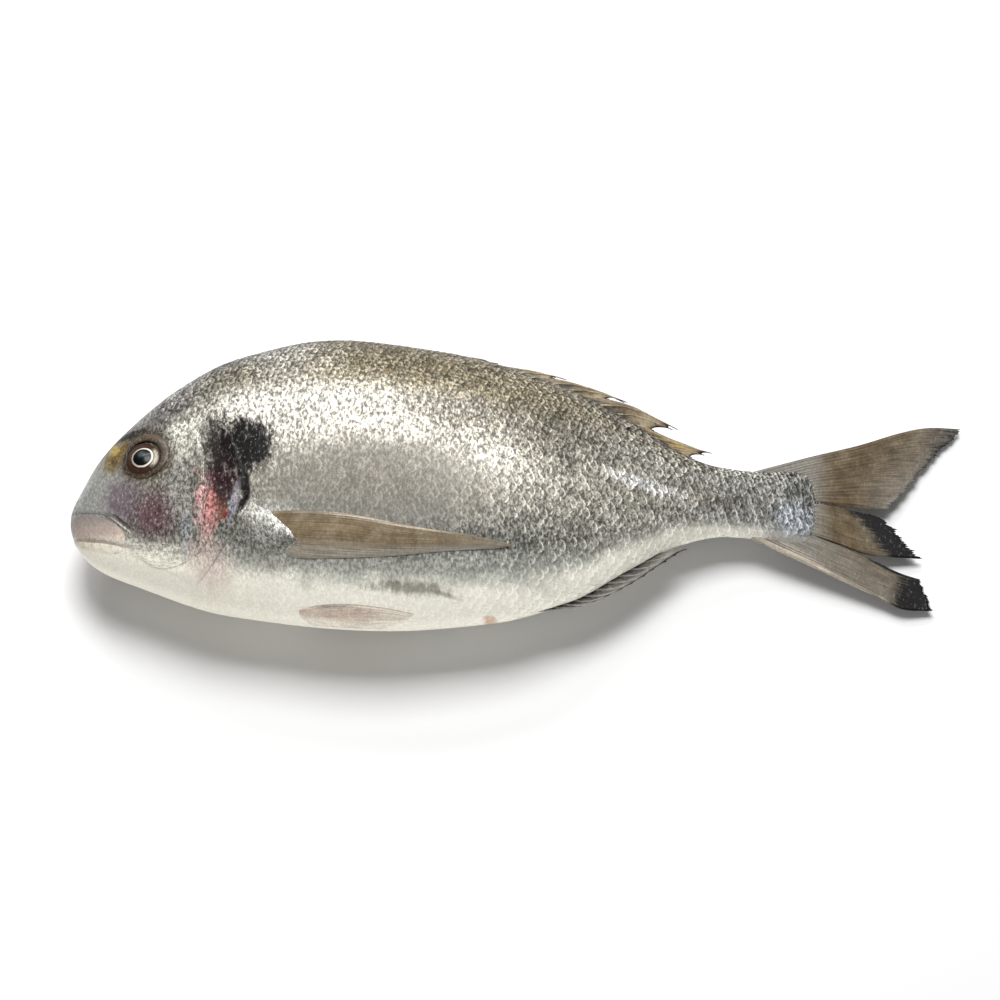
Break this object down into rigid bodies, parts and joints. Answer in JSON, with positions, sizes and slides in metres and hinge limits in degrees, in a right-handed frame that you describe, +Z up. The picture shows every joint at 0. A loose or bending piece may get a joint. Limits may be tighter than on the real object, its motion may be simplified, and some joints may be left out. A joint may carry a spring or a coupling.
{
  "type": "whole raw fish",
  "caption": "Whole raw silver bream lying on its side, with closed mouth and gill cover, folded fins and a forked, frayed tail.",
  "frame": {"origin": "middle of the bounding box, at the bottom, on the surface that the fish lies on", "axes": "+X runs from the snout to the tail, +Y from the belly to the back, +Z up, out of the left flank"},
  "size_m": [0.3072, 0.1052, 0.0441],
  "materials": {
    "skin": "wet silver scales, smooth slate-grey snout, cream belly",
    "fin": "wet olive-tan fin rays and web, black at the tips of the tail",
    "eye": "clear wet eye, dark pupil in a silver and brown iris"
  },
  "bodies": {
    "root": {"fish": "skin", "eye_left": "eye", "eye_right": "eye"}
  },
  "joints": []
}
